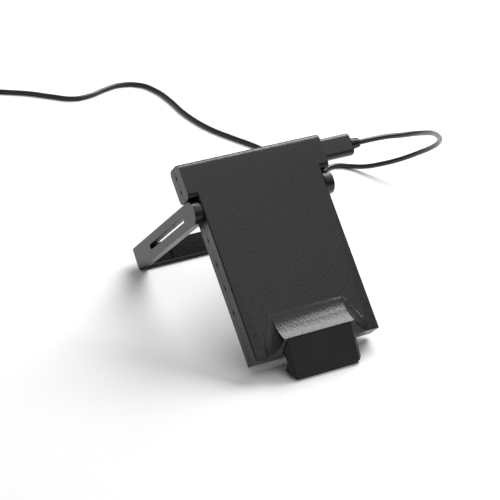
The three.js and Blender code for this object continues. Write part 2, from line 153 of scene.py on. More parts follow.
# from the wound part to the far plug, in millimetres
for tail_point in [
    (-64.5, 374.0, 4.9),
    (-72, 374.6, 3.8),
    (-80.5, 370.5, 3.2),
    (-87, 363.5, 3.5),
    (-90, 356.5, 3.95),
    (-90, 352.3, 3.95),
]:
    cable_points.append(Vector(tail_point) / 1000)

cable_curve = bpy.data.curves.new("flex", "CURVE")
cable_curve.dimensions = "3D"
cable_curve.resolution_u = 6
cable_curve.bevel_depth = 1
cable_curve.bevel_resolution = 5
cable_curve.use_fill_caps = True
spline = cable_curve.splines.new("BEZIER")
spline.bezier_points.add(len(cable_points) - 1)
for point, place in zip(spline.bezier_points, cable_points):
    point.co = place
    point.radius = cable_diameter / 2
    point.handle_left_type = "AUTO"
    point.handle_right_type = "AUTO"
flex = bpy.data.objects.new("flex", cable_curve)
bpy.context.scene.collection.objects.link(flex)
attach(flex, "usb_cable")
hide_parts("cable", "cable_coil", "cable_tail")


def add_node(tree, kind, label, where=(0, 0), group=None):
    """One labelled node, inside a frame of the node tree where one is given."""
    node = tree.nodes.new(kind)
    node.label = label
    node.parent = group
    node.location = where
    return node


def new_material(name, shader_label):
    """A material that holds a Principled shader joined to its output, and nothing else yet."""
    material = bpy.data.materials.new(name)
    material.use_nodes = True
    tree = material.node_tree
    tree.nodes.clear()
    output = add_node(tree, "ShaderNodeOutputMaterial", "Surface", (200, 0))
    shader = add_node(tree, "ShaderNodeBsdfPrincipled", shader_label, (-100, 0))
    tree.links.new(shader.outputs["BSDF"], output.inputs["Surface"])
    return material, tree, shader


def soft_jacket(name, colour, roughness, peel_size=1400, peel_depth=0.15):
    """Soft extruded or moulded jacket: fine orange peel, a little lint, patches of polish."""
    material, tree, shader = new_material(name, "Jacket")
    links = tree.links
    place = add_node(tree, "ShaderNodeTexCoord", "Place on the piece", (-1100, 0))
    tone_frame = add_node(tree, "NodeFrame", "Tone and polish")
    skin_frame = add_node(tree, "NodeFrame", "Skin")
    patches = add_node(tree, "ShaderNodeTexNoise", "Handling patches", (-850, 150), tone_frame)
    patches.inputs["Scale"].default_value = 90
    patches.inputs["Detail"].default_value = 4
    tone = add_node(tree, "ShaderNodeValToRGB", "Patch tone", (-600, 300), tone_frame)
    tone.color_ramp.elements[0].position = 0.35
    tone.color_ramp.elements[0].color = tuple(c * 0.8 for c in colour) + (1,)
    tone.color_ramp.elements[1].position = 0.75
    tone.color_ramp.elements[1].color = tuple(c * 1.3 for c in colour) + (1,)
    lint = add_node(tree, "ShaderNodeTexVoronoi", "Lint specks", (-850, 450), tone_frame)
    lint.inputs["Scale"].default_value = 700
    lint_mask = add_node(tree, "ShaderNodeMapRange", "Only the middle of a speck", (-600, 500), tone_frame)
    lint_mask.inputs["From Min"].default_value = 0.06
    lint_mask.inputs["From Max"].default_value = 0.14
    lint_mask.inputs["To Min"].default_value = 0.35
    lint_mask.inputs["To Max"].default_value = 0
    linted = add_node(tree, "ShaderNodeMix", "Tone with lint", (-350, 350), tone_frame)
    linted.data_type = "RGBA"
    linted.inputs["B"].default_value = (0.05, 0.05, 0.052, 1)
    polish = add_node(tree, "ShaderNodeMapRange", "Polish of the patches", (-400, 0), tone_frame)
    polish.inputs["To Min"].default_value = roughness - 0.06
    polish.inputs["To Max"].default_value = roughness + 0.08
    peel = add_node(tree, "ShaderNodeTexNoise", "Orange peel", (-850, -300), skin_frame)
    peel.inputs["Scale"].default_value = peel_size
    peel.inputs["Detail"].default_value = 2
    bump = add_node(tree, "ShaderNodeBump", "Peel height", (-400, -300), skin_frame)
    bump.inputs["Strength"].default_value = peel_depth
    bump.inputs["Distance"].default_value = 0.0001
    links.new(place.outputs["Object"], patches.inputs["Vector"])
    links.new(place.outputs["Object"], lint.inputs["Vector"])
    links.new(place.outputs["Object"], peel.inputs["Vector"])
    links.new(patches.outputs["Fac"], tone.inputs["Fac"])
    links.new(patches.outputs["Fac"], polish.inputs["Value"])
    links.new(lint.outputs["Distance"], lint_mask.inputs["Value"])
    links.new(lint_mask.outputs["Result"], linted.inputs["Factor"])
    links.new(tone.outputs["Color"], linted.inputs["A"])
    links.new(linted.outputs["Result"], shader.inputs["Base Color"])
    links.new(polish.outputs["Result"], shader.inputs["Roughness"])
    links.new(peel.outputs["Fac"], bump.inputs["Height"])
    links.new(bump.outputs["Normal"], shader.inputs["Normal"])
    return material


jacket = soft_jacket("cable_jacket", (0.007, 0.007, 0.0075), 0.31)
cable_curve.materials.append(jacket)

# ---- Table and studio ----
# A sheet of white paper under a wide soft box, behind and to the right, with a dimmer panel in
# front. The room is white to the eye and dim to the gloss, so that black edges keep their line.
bpy.context.scene.view_settings.view_transform = "Standard"
paper_half_width = 0.95
paper_mesh = bmesh.new()
bmesh.ops.create_grid(paper_mesh, x_segments=1, y_segments=1, size=paper_half_width)
paper_data = bpy.data.meshes.new("paper")
paper_mesh.to_mesh(paper_data)
paper_mesh.free()
paper = bpy.data.objects.new("paper", paper_data)
bpy.context.scene.collection.objects.link(paper)
paper_material = bpy.data.materials.new("paper")
paper_material.use_nodes = True
paper_shader = paper_material.node_tree.nodes["Principled BSDF"]
paper_shader.inputs["Base Color"].default_value = (0.96, 0.955, 0.96, 1)
paper_shader.inputs["Roughness"].default_value = 0.9
paper_shader.inputs["Specular IOR Level"].default_value = 0.1
paper_data.materials.append(paper_material)

studio = bpy.data.worlds.new("studio")
bpy.context.scene.world = studio
studio.use_nodes = True
studio_links = studio.node_tree.links
studio.node_tree.nodes.clear()
studio_output = add_node(studio.node_tree, "ShaderNodeOutputWorld", "Studio")
seen = add_node(studio.node_tree, "ShaderNodeBackground", "White that the eye sees")
seen.inputs["Color"].default_value = (1, 1, 1, 1)
lit = add_node(studio.node_tree, "ShaderNodeBackground", "Dim walls")
lit.inputs["Color"].default_value = (1, 1, 1, 1)
either = add_node(studio.node_tree, "ShaderNodeMixShader", "Seen or lit")
kind = add_node(studio.node_tree, "ShaderNodeLightPath", "Kind of ray")
direction = add_node(studio.node_tree, "ShaderNodeTexCoord", "Direction")
parts = add_node(studio.node_tree, "ShaderNodeSeparateXYZ", "Height in the room")
rise = add_node(studio.node_tree, "ShaderNodeMapRange", "Walls dark, ceiling brighter")
rise.inputs["From Min"].default_value = 0.05
rise.inputs["From Max"].default_value = 0.85
rise.inputs["To Min"].default_value = 0.06
rise.inputs["To Max"].default_value = 0.5
studio_links.new(direction.outputs["Generated"], parts.inputs["Vector"])
studio_links.new(parts.outputs["Z"], rise.inputs["Value"])
studio_links.new(rise.outputs["Result"], lit.inputs["Strength"])
studio_links.new(kind.outputs["Is Camera Ray"], either.inputs["Fac"])
studio_links.new(lit.outputs["Background"], either.inputs[1])
studio_links.new(seen.outputs["Background"], either.inputs[2])
studio_links.new(either.outputs["Shader"], studio_output.inputs["Surface"])


def soft_box(name, place, target, width, height, power):
    """One rectangular soft box, turned towards the target."""
    data = bpy.data.lights.new(name, "AREA")
    data.shape = "RECTANGLE"
    data.size = width
    data.size_y = height
    data.energy = power
    lamp = bpy.data.objects.new(name, data)
    lamp.location = place
    lamp.rotation_euler = (Vector(target) - Vector(place)).to_track_quat("-Z", "Y").to_euler()
    bpy.context.scene.collection.objects.link(lamp)


soft_box("key", (1.03, 0.66, 1.2), (0, 0, 0.03), 1.3, 0.95, 34)
soft_box("front_panel", (0.65, -0.9, 1.85), (0, 0, 0.05), 1.4, 1.4, 5.5)

# ---- Covers ----
# The slab's two halves, moulded in black plastic with a fine spark-eroded grain and screwed
# together from the rear. The front half carries the ledge, and a thin shadow gap runs round
# where the two meet.
# the slab leans back on its foot: X runs across it, Y up it and Z out of its rear face to its front
slab_tilt = math.radians(44)
slab_foot = (0, -0.0602, 0.00205)
slab_place = Matrix.Translation(slab_foot) @ Matrix.Rotation(slab_tilt, 4, "X")
# points this close are one, and faces this nearly level are one flat face
same_point = 2e-6
same_plane = math.radians(0.4)


def merged_copy(node):
    """A CAD node's shape as a bmesh: its loose triangles merged and its flat faces made whole."""
    shape = bmesh.new()
    shape.from_mesh(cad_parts[node].data)
    bmesh.ops.remove_doubles(shape, verts=shape.verts, dist=same_point)
    bmesh.ops.dissolve_limit(
        shape, angle_limit=same_plane, verts=shape.verts, edges=shape.edges
    )
    return shape


def finished(name, shape, material, body, replaced=(), edge=0.0, angle=32):
    """Makes the bmesh a piece: smooth but for sharp corners, its edges broken by a small round."""
    data = bpy.data.meshes.new(name)
    for face in shape.faces:
        face.smooth = True
    shape.to_mesh(data)
    shape.free()
    data.set_sharp_from_angle(angle=math.radians(angle))
    piece = bpy.data.objects.new(name, data)
    bpy.context.scene.collection.objects.link(piece)
    data.materials.append(material)
    if edge:
        rounding = piece.modifiers.new("edges", "BEVEL")
        rounding.width = edge
        rounding.segments = 2
        rounding.limit_method = "ANGLE"
        rounding.angle_limit = math.radians(angle)
        rounding.harden_normals = True
    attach(piece, body)
    if replaced:
        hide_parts(*replaced)
    return piece


def grained_plastic(name, colour, roughness, grain, depth):
    """Moulded plastic with an eroded grain: fine pits with painted shade in them and a painted highlight
    on the ridges, slow changes of gloss, dust.
    """
    material, tree, shader = new_material(name, "Plastic")
    links = tree.links
    shader.inputs["IOR"].default_value = 1.46
    place = add_node(tree, "ShaderNodeTexCoord", "Place on the part", (-1100, 0))
    grain_frame = add_node(tree, "NodeFrame", "Grain")
    tone_frame = add_node(tree, "NodeFrame", "Tone and dust")
    pits = add_node(tree, "ShaderNodeTexNoise", "Eroded pits", (-850, -250), grain_frame)
    pits.inputs["Scale"].default_value = grain
    pits.inputs["Detail"].default_value = 3
    pits.inputs["Roughness"].default_value = 0.6
    cells = add_node(tree, "ShaderNodeTexVoronoi", "Grain cells", (-850, -500), grain_frame)
    cells.inputs["Scale"].default_value = grain * 0.6
    both = add_node(tree, "ShaderNodeMath", "Pits and cells", (-600, -350), grain_frame)
    both.operation = "ADD"
    bump = add_node(tree, "ShaderNodeBump", "Grain depth", (-400, -350), grain_frame)
    bump.inputs["Strength"].default_value = 0.8
    bump.inputs["Distance"].default_value = depth
    flow = add_node(tree, "ShaderNodeTexNoise", "Slow change of gloss", (-850, 50), tone_frame)
    flow.inputs["Scale"].default_value = 28
    flow.inputs["Detail"].default_value = 3
    gloss = add_node(tree, "ShaderNodeMapRange", "Gloss", (-400, 0), tone_frame)
    gloss.inputs["To Min"].default_value = roughness - 0.04
    gloss.inputs["To Max"].default_value = roughness + 0.05
    specks = add_node(tree, "ShaderNodeTexNoise", "Dust specks", (-850, 350), tone_frame)
    specks.inputs["Scale"].default_value = 2600
    specks.inputs["Detail"].default_value = 1
    dust = add_node(tree, "ShaderNodeMapRange", "Only the highest specks", (-600, 350), tone_frame)
    dust.inputs["From Min"].default_value = 0.66
    dust.inputs["From Max"].default_value = 0.8
    dust.inputs["To Max"].default_value = 0.25
    # Painted shade and highlight: the colour follows the same pit noise as the bump, darker in the pits
    # and paler on the ridges.
    pit_shade_ridge_highlight = add_node(tree, "ShaderNodeValToRGB", "Painted shade in pits, painted highlight on ridges", (-600, 600), tone_frame)
    pit_shade_ridge_highlight.color_ramp.elements[0].position = 0.35
    pit_shade_ridge_highlight.color_ramp.elements[0].color = tuple(c * 0.3 for c in colour) + (1,)
    pit_shade_ridge_highlight.color_ramp.elements[1].position = 0.65
    pit_shade_ridge_highlight.color_ramp.elements[1].color = tuple(min(c * 2.2, 1) for c in colour) + (1,)
    tone = add_node(tree, "ShaderNodeMix", "Plastic and dust", (-350, 350), tone_frame)
    tone.data_type = "RGBA"
    tone.inputs["B"].default_value = tuple(min(c * 3 + 0.03, 1) for c in colour) + (1,)
    links.new(place.outputs["Object"], pits.inputs["Vector"])
    links.new(place.outputs["Object"], cells.inputs["Vector"])
    links.new(place.outputs["Object"], flow.inputs["Vector"])
    links.new(place.outputs["Object"], specks.inputs["Vector"])
    links.new(pits.outputs["Fac"], pit_shade_ridge_highlight.inputs["Fac"])
    links.new(pit_shade_ridge_highlight.outputs["Color"], tone.inputs["A"])
    links.new(pits.outputs["Fac"], both.inputs[0])
    links.new(cells.outputs["Distance"], both.inputs[1])
    links.new(both.outputs["Value"], bump.inputs["Height"])
    links.new(bump.outputs["Normal"], shader.inputs["Normal"])
    links.new(flow.outputs["Fac"], gloss.inputs["Value"])
    links.new(gloss.outputs["Result"], shader.inputs["Roughness"])
    links.new(specks.outputs["Fac"], dust.inputs["Value"])
    links.new(dust.outputs["Result"], tone.inputs["Factor"])
    links.new(tone.outputs["Result"], shader.inputs["Base Color"])
    return material


black_plastic = grained_plastic("black_plastic", (0.005, 0.005, 0.0053), 0.3, 1000, 0.0001)
for piece_name, node in (("cover_front", "front_cover"), ("cover_rear", "rear_cover")):
    finished(
        piece_name,
        merged_copy(node),
        black_plastic,
        "stand",
        replaced=[node],
        edge=0.0003,
    )

# ---- Cover screws ----
# Six zinc-plated thread-forming screws, driven from the rear into the front cover's bosses, with
# a six-lobed recess in each head.
# across the slab and up it, in millimetres
screw_places = [(side * x, v) for side in (-1, 1) for x, v in ((34, 7), (34, 78), (38.4, 106.9))]


def plated_metal(name, colour, roughness, brush, brush_turn=(0, 0, 0)):
    """Plated or rolled metal: drawn-out brush lines, faint clouds in the plating, soft wear."""
    material, tree, shader = new_material(name, "Metal")
    links = tree.links
    shader.inputs["Metallic"].default_value = 1
    place = add_node(tree, "ShaderNodeTexCoord", "Place on the part", (-1100, 0))
    brush_frame = add_node(tree, "NodeFrame", "Brush lines")
    cloud_frame = add_node(tree, "NodeFrame", "Clouds in the plating")
    drawn = add_node(tree, "ShaderNodeMapping", "Drawn out along the part", (-850, -250), brush_frame)
    drawn.inputs["Rotation"].default_value = brush_turn
    drawn.inputs["Scale"].default_value = (0.06, 1, 1)
    lines = add_node(tree, "ShaderNodeTexNoise", "Lines", (-600, -250), brush_frame)
    lines.inputs["Scale"].default_value = brush
    lines.inputs["Detail"].default_value = 3
    bump = add_node(tree, "ShaderNodeBump", "Line depth", (-350, -250), brush_frame)
    bump.inputs["Strength"].default_value = 0.2
    bump.inputs["Distance"].default_value = 0.00003
    clouds = add_node(tree, "ShaderNodeTexNoise", "Clouds", (-850, 200), cloud_frame)
    clouds.inputs["Scale"].default_value = 420
    clouds.inputs["Detail"].default_value = 3
    tone = add_node(tree, "ShaderNodeValToRGB", "Plating tone", (-500, 300), cloud_frame)
    tone.color_ramp.elements[0].position = 0.3
    tone.color_ramp.elements[0].color = tuple(c * 0.72 for c in colour) + (1,)
    tone.color_ramp.elements[1].position = 0.65
    tone.color_ramp.elements[1].color = (*colour, 1)
    wear = add_node(tree, "ShaderNodeMapRange", "Duller where worn", (-350, 50), cloud_frame)
    wear.inputs["To Min"].default_value = roughness + 0.12
    wear.inputs["To Max"].default_value = roughness - 0.05
    links.new(place.outputs["Object"], drawn.inputs["Vector"])
    links.new(place.outputs["Object"], clouds.inputs["Vector"])
    links.new(drawn.outputs["Vector"], lines.inputs["Vector"])
    links.new(lines.outputs["Fac"], bump.inputs["Height"])
    links.new(clouds.outputs["Fac"], tone.inputs["Fac"])
    links.new(clouds.outputs["Fac"], wear.inputs["Value"])
    links.new(tone.outputs["Color"], shader.inputs["Base Color"])
    links.new(wear.outputs["Result"], shader.inputs["Roughness"])
    links.new(bump.outputs["Normal"], shader.inputs["Normal"])
    return material


screw_steel = plated_metal("screw_steel", (0.5, 0.51, 0.52), 0.32, 2400)
head_radius = 0.0019
head_height = 0.0013
head_middle = 0.00165
rim_round = 0.0004
recess_wall = 0.00055
recess_depth = 0.0008
lobe_waist = 0.72
shank_radius = 0.00095
shank_tip_radius = 0.0006
shank_length = 0.0084
shank_middle = 0.0065
for number, (x, v) in enumerate(screw_places, 1):
    screw = bmesh.new()
    # the head, its rim rounded towards the driver, and the shank behind it
    bmesh.ops.create_cone(
        screw,
        cap_ends=True,
        segments=24,
        radius1=head_radius,
        radius2=head_radius,
        depth=head_height,
        matrix=Matrix.Translation((0, 0, head_middle)),
    )
    driven = min(screw.faces, key=lambda face: face.calc_center_median().z)
    bmesh.ops.bevel(
        screw,
        geom=list(driven.edges),
        affect="EDGES",
        offset=rim_round,
        segments=2,
        profile=0.5,
        material=-1,
    )
    driven = min(screw.faces, key=lambda face: face.calc_center_median().z)
    bmesh.ops.inset_region(screw, faces=[driven], thickness=recess_wall)
    lobes = sorted(driven.verts, key=lambda vert: math.atan2(vert.co.y, vert.co.x))
    for place, vert in enumerate(lobes):
        reach = 1.0 if place % 4 in (0, 1) else lobe_waist
        vert.co.x *= reach
        vert.co.y *= reach
    sunk = bmesh.ops.extrude_discrete_faces(screw, faces=[driven])["faces"]
    bmesh.ops.translate(screw, verts=list(sunk[0].verts), vec=(0, 0, recess_depth))
    bmesh.ops.create_cone(
        screw,
        cap_ends=True,
        segments=16,
        radius1=shank_radius,
        radius2=shank_tip_radius,
        depth=shank_length,
        matrix=Matrix.Translation((0, 0, shank_middle)),
    )
    bmesh.ops.transform(
        screw, matrix=slab_place @ Matrix.Translation((x / 1000, v / 1000, 0)), verts=screw.verts
    )
    finished(
        f"screw_{number}",
        screw,
        screw_steel,
        "stand",
        replaced=[f"cover_screw_{number}"],
    )

# ---- Kickstand ----
# One U-shaped moulding in the same plastic: two flat arms, each with a long slot and a round
# knuckle at the hinge, and the foot's wall between them, edged with a strip of black rubber.
finished(
    "kickstand_bail",
    merged_copy("kickstand_frame"),
    black_plastic,
    "kickstand",
    replaced=["kickstand_frame"],
    edge=0.00035,
)
black_rubber = soft_jacket("black_rubber", (0.0045, 0.0045, 0.0048), 0.56, 900, 0.3)
finished(
    "kickstand_rubber",
    merged_copy("foot_strip"),
    black_rubber,
    "kickstand",
    replaced=["foot_strip"],
    edge=0.0003,
)

# ---- Hinge ----
# A headed steel pin through a turned brass bush in each side of the slab, with a friction washer
# under its head that holds the kickstand at any angle.
bush_brass = plated_metal("bush_brass", (0.65, 0.5, 0.22), 0.3, 1800)
for side in ("left", "right"):
    for node, shape_slot, metal, body in (
        ("hinge_pin_" + side, "screw_steel", screw_steel, "kickstand"),
        ("friction_washer_" + side, "screw_steel", screw_steel, "stand"),
        ("hinge_bush_" + side, "bush_brass", bush_brass, "stand"),
    ):
        finished(
            node + "_turned",
            merged_copy(node),
            metal,
            body,
            replaced=[node],
            edge=0.00015,
        )

# ---- Ledge boot ----
# A block of black rubber bonded under the ledge, on which the slab's lower end stands. A thinner
# pad of the same rubber is its sole.
finished(
    "boot",
    merged_copy("ledge_boot"),
    black_rubber,
    "stand",
    replaced=["ledge_boot"],
    edge=0.00015,
)
finished(
    "boot_sole",
    merged_copy("boot_pad"),
    black_rubber,
    "stand",
    replaced=["boot_pad"],
    edge=0.0003,
)

# ---- Charging coils ----
# Two flat coils of enamelled copper wire, one for a phone upright and one for it on its side, on
# a ferrite sheet that rests in a moulded carrier over an aluminium heat spreader.
wire_turns = 12
wire_radius = 0.00049
wire_spacing = 0.001
first_turn_radius = 0.0105


def enamelled_wire(name, colour):
    """Copper wire under clear enamel: a warm metal with a thin coat and darker runs of tone."""
    material, tree, shader = new_material(name, "Wire")
    links = tree.links
    shader.inputs["Metallic"].default_value = 0.9
    shader.inputs["Coat Weight"].default_value = 0.6
    shader.inputs["Coat Roughness"].default_value = 0.15
    place = add_node(tree, "ShaderNodeTexCoord", "Place on the coil", (-900, 0))
    tone_frame = add_node(tree, "NodeFrame", "Enamel tone")
    runs = add_node(tree, "ShaderNodeTexNoise", "Runs of enamel", (-650, 0), tone_frame)
    runs.inputs["Scale"].default_value = 260
    runs.inputs["Detail"].default_value = 3
    tone = add_node(tree, "ShaderNodeValToRGB", "Copper tone", (-400, 150), tone_frame)
    tone.color_ramp.elements[0].position = 0.3
    tone.color_ramp.elements[0].color = tuple(c * 0.6 for c in colour) + (1,)
    tone.color_ramp.elements[1].position = 0.7
    tone.color_ramp.elements[1].color = (*colour, 1)
    gloss = add_node(tree, "ShaderNodeMapRange", "Gloss under the enamel", (-400, -100), tone_frame)
    gloss.inputs["To Min"].default_value = 0.42
    gloss.inputs["To Max"].default_value = 0.28
    links.new(place.outputs["Object"], runs.inputs["Vector"])
    links.new(runs.outputs["Fac"], tone.inputs["Fac"])
    links.new(runs.outputs["Fac"], gloss.inputs["Value"])
    links.new(tone.outputs["Color"], shader.inputs["Base Color"])
    links.new(gloss.outputs["Result"], shader.inputs["Roughness"])
    return material


copper_wire = enamelled_wire("copper_wire", (0.72, 0.38, 0.2))
for node, v, n in (("coil_lower", 44, 9.95), ("coil_upper", 70, 11.35)):
    winding = bmesh.new()
    for turn in range(wire_turns):
        wire = bmesh.ops.create_circle(
            winding,
            segments=10,
            radius=wire_radius,
            matrix=Matrix.Translation((first_turn_radius + wire_spacing * turn, 0, 0))
            @ Matrix.Rotation(math.radians(90), 4, "X"),
        )
        bmesh.ops.spin(
            winding,
            geom=wire["verts"] + list({edge for vert in wire["verts"] for edge in vert.link_edges}),
            cent=(0, 0, 0),
            axis=(0, 0, 1),
            dvec=(0, 0, 0),
            angle=2 * math.pi,
            steps=56,
            use_merge=True,
        )
    bmesh.ops.remove_doubles(winding, verts=winding.verts, dist=1e-6)
    bmesh.ops.recalc_face_normals(winding, faces=winding.faces)
    bmesh.ops.transform(
        winding,
        matrix=slab_place @ Matrix.Translation((0, v / 1000, n / 1000)),
        verts=winding.verts,
    )
    finished(node + "_winding", winding, copper_wire, "stand", replaced=[node])


def speckled(name, colour, speck, size, roughness, amount=0.5):
    """Pressed, filled or fired matter: a base tone, grains of a second one, a fine rough skin."""
    material, tree, shader = new_material(name, "Body")
    links = tree.links
    place = add_node(tree, "ShaderNodeTexCoord", "Place on the part", (-1100, 0))
    grain_frame = add_node(tree, "NodeFrame", "Grains")
    skin_frame = add_node(tree, "NodeFrame", "Skin")
    grains = add_node(tree, "ShaderNodeTexVoronoi", "Grains", (-850, 250), grain_frame)
    grains.inputs["Scale"].default_value = size
    share = add_node(tree, "ShaderNodeMapRange", "Share of grains", (-600, 250), grain_frame)
    share.inputs["From Min"].default_value = 0.1
    share.inputs["From Max"].default_value = 0.7
    share.inputs["To Min"].default_value = amount
    share.inputs["To Max"].default_value = 0
    tone = add_node(tree, "ShaderNodeMix", "Base and grains", (-350, 250), grain_frame)
    tone.data_type = "RGBA"
    tone.inputs["A"].default_value = (*colour, 1)
    tone.inputs["B"].default_value = (*speck, 1)
    skin = add_node(tree, "ShaderNodeTexNoise", "Rough skin", (-850, -200), skin_frame)
    skin.inputs["Scale"].default_value = size * 1.7
    skin.inputs["Detail"].default_value = 2
    gloss = add_node(tree, "ShaderNodeMapRange", "Gloss", (-400, -50), skin_frame)
    gloss.inputs["To Min"].default_value = roughness - 0.08
    gloss.inputs["To Max"].default_value = roughness + 0.08
    bump = add_node(tree, "ShaderNodeBump", "Skin depth", (-400, -300), skin_frame)
    bump.inputs["Strength"].default_value = 0.25
    bump.inputs["Distance"].default_value = 0.00005
    links.new(place.outputs["Object"], grains.inputs["Vector"])
    links.new(place.outputs["Object"], skin.inputs["Vector"])
    links.new(grains.outputs["Distance"], share.inputs["Value"])
    links.new(share.outputs["Result"], tone.inputs["Factor"])
    links.new(tone.outputs["Result"], shader.inputs["Base Color"])
    links.new(skin.outputs["Fac"], gloss.inputs["Value"])
    links.new(gloss.outputs["Result"], shader.inputs["Roughness"])
    links.new(skin.outputs["Fac"], bump.inputs["Height"])
    links.new(bump.outputs["Normal"], shader.inputs["Normal"])
    return material


ferrite = speckled("ferrite", (0.05, 0.052, 0.056), (0.12, 0.12, 0.125), 1500, 0.55)
carrier_plastic = speckled("carrier_plastic", (0.72, 0.72, 0.69), (0.62, 0.62, 0.6), 600, 0.5)
sheet_aluminium = plated_metal("sheet_aluminium", (0.72, 0.73, 0.75), 0.34, 1500)
for node, plate_slot, matter in (
    ("ferrite_sheet", "ferrite", ferrite),
    ("coil_carrier", "carrier_plastic", carrier_plastic),
    ("heat_spreader", "sheet_aluminium", sheet_aluminium),
):
    finished(
        node + "_plate",
        merged_copy(node),
        matter,
        "stand",
        replaced=[node],
        edge=0.00012,
    )

# ---- Circuit board ----
# A green board on two posts in the head, with a tinned shield can, an inductor, four large
# ceramic capacitors and rows of small parts, and a soft pad that carries heat to the front cover.
chip_size = (0.0016, 0.0008, 0.0006)
chip_columns = 7
chip_spacing = 0.0028
chip_row_spacing = 0.0034
first_chip = (0.016, 0.1132, 0.0051)


def solder_resist(name, colour, track):
    """Green solder resist: a gloss skin, with the copper tracks under it showing a little paler."""
    material, tree, shader = new_material(name, "Resist")
    links = tree.links
    place = add_node(tree, "ShaderNodeTexCoord", "Place on the board", (-1100, 0))
    track_frame = add_node(tree, "NodeFrame", "Tracks under the resist")
    laid = add_node(tree, "ShaderNodeMapping", "Laid in the slab's slope", (-900, 150), track_frame)
    laid.vector_type = "TEXTURE"
    laid.inputs["Rotation"].default_value = (slab_tilt, 0, 0)
    tracks = add_node(tree, "ShaderNodeTexBrick", "Tracks", (-700, 150), track_frame)
    tracks.inputs["Scale"].default_value = 260
    tracks.inputs["Mortar Size"].default_value = 0.06
    tracks.inputs["Color1"].default_value = (0, 0, 0, 1)
    tracks.inputs["Color2"].default_value = (0.15, 0.15, 0.15, 1)
    tracks.inputs["Mortar"].default_value = (1, 1, 1, 1)
    tone = add_node(tree, "ShaderNodeMix", "Resist over tracks", (-400, 250), track_frame)
    tone.data_type = "RGBA"
    tone.inputs["A"].default_value = (*colour, 1)
    tone.inputs["B"].default_value = (*track, 1)
    bump = add_node(tree, "ShaderNodeBump", "Track height", (-400, -300), track_frame)
    bump.inputs["Strength"].default_value = 0.3
    bump.inputs["Distance"].default_value = 0.00004
    smears = add_node(tree, "ShaderNodeTexNoise", "Flux smears", (-700, -100))
    smears.inputs["Scale"].default_value = 180
    gloss = add_node(tree, "ShaderNodeMapRange", "Gloss", (-400, -50))
    gloss.inputs["To Min"].default_value = 0.22
    gloss.inputs["To Max"].default_value = 0.4
    links.new(place.outputs["Object"], laid.inputs["Vector"])
    links.new(laid.outputs["Vector"], tracks.inputs["Vector"])
    links.new(tracks.outputs["Color"], tone.inputs["Factor"])
    links.new(tracks.outputs["Fac"], bump.inputs["Height"])
    links.new(place.outputs["Object"], smears.inputs["Vector"])
    links.new(smears.outputs["Fac"], gloss.inputs["Value"])
    links.new(tone.outputs["Result"], shader.inputs["Base Color"])
    links.new(gloss.outputs["Result"], shader.inputs["Roughness"])
    links.new(bump.outputs["Normal"], shader.inputs["Normal"])
    return material


green_resist = solder_resist("green_resist", (0.018, 0.12, 0.055), (0.06, 0.24, 0.1))
finished(
    "board",
    merged_copy("circuit_board"),
    green_resist,
    "stand",
    replaced=["circuit_board"],
)
sheet_steel = plated_metal("sheet_steel", (0.6, 0.61, 0.62), 0.28, 900)
inductor_ferrite = speckled("inductor_ferrite", (0.04, 0.04, 0.042), (0.1, 0.1, 0.1), 2200, 0.6)
ceramic = speckled("ceramic", (0.5, 0.38, 0.24), (0.62, 0.5, 0.36), 1800, 0.4, 0.3)
silicone = speckled("silicone", (0.36, 0.42, 0.47), (0.5, 0.55, 0.6), 1100, 0.75)
for node, part_slot, matter, edge in (
    ("shield_can", "sheet_steel", sheet_steel, 0.0003),
    ("power_inductor", "ferrite", inductor_ferrite, 0.0004),
    ("capacitor_1", "ceramic", ceramic, 0.0002),
    ("capacitor_2", "ceramic", ceramic, 0.0002),
    ("capacitor_3", "ceramic", ceramic, 0.0002),
    ("capacitor_4", "ceramic", ceramic, 0.0002),
    ("thermal_pad", "silicone", silicone, 0.0005),
    ("board_screw_1", "screw_steel", screw_steel, 0.00012),
    ("board_screw_2", "screw_steel", screw_steel, 0.00012),
):
    finished(
        node + "_fitted",
        merged_copy(node),
        matter,
        "stand",
        replaced=[node],
        edge=edge,
    )

chips = bmesh.new()
for column in range(chip_columns):
    for row in (0, 1):
        x = first_chip[0] + chip_spacing * column
        v = first_chip[1] + chip_row_spacing * row
        chip = bmesh.ops.create_cube(chips, size=1)
        bmesh.ops.scale(chips, vec=chip_size, verts=chip["verts"])
        bmesh.ops.translate(chips, vec=(x, v, first_chip[2]), verts=chip["verts"])
bmesh.ops.bevel(
    chips,
    geom=chips.edges[:],
    affect="EDGES",
    offset=0.00008,
    segments=1,
    profile=0.5,
    material=-1,
)
bmesh.ops.transform(chips, matrix=slab_place, verts=chips.verts)
finished("small_parts", chips, ceramic, "stand")

# ---- Charging socket ----
# A drawn steel shell on the edge of the board, flush with its port in the end of the head, with a
# black tongue inside.
plug_steel = plated_metal("plug_steel", (0.62, 0.63, 0.64), 0.26, 2000)
black_insert = grained_plastic("black_insert", (0.012, 0.012, 0.012), 0.4, 2600, 0.00003)
finished(
    "socket_shell",
    merged_copy("usb_c_socket"),
    plug_steel,
    "stand",
    replaced=["usb_c_socket"],
    edge=0.00008,
)
finished(
    "socket_blade",
    merged_copy("socket_tongue"),
    black_insert,
    "stand",
    replaced=["socket_tongue"],
    edge=0.00012,
)

# ---- Plug in the head ----
# The cable's own plug: a drawn steel shell, a plain moulded grip with rounded sides, and a short
# ribbed sleeve where the flex comes out.
plug_plastic = grained_plastic("plug_plastic", (0.011, 0.011, 0.0115), 0.3, 2200, 0.00003)
finished(
    "plug_grip",
    merged_copy("usb_c_plug"),
    plug_plastic,
    "usb_cable",
    replaced=["usb_c_plug"],
    edge=0.0007,
)
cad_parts["usb_c_plug_shell"].data.materials.clear()
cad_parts["usb_c_plug_shell"].data.materials.append(plug_steel)

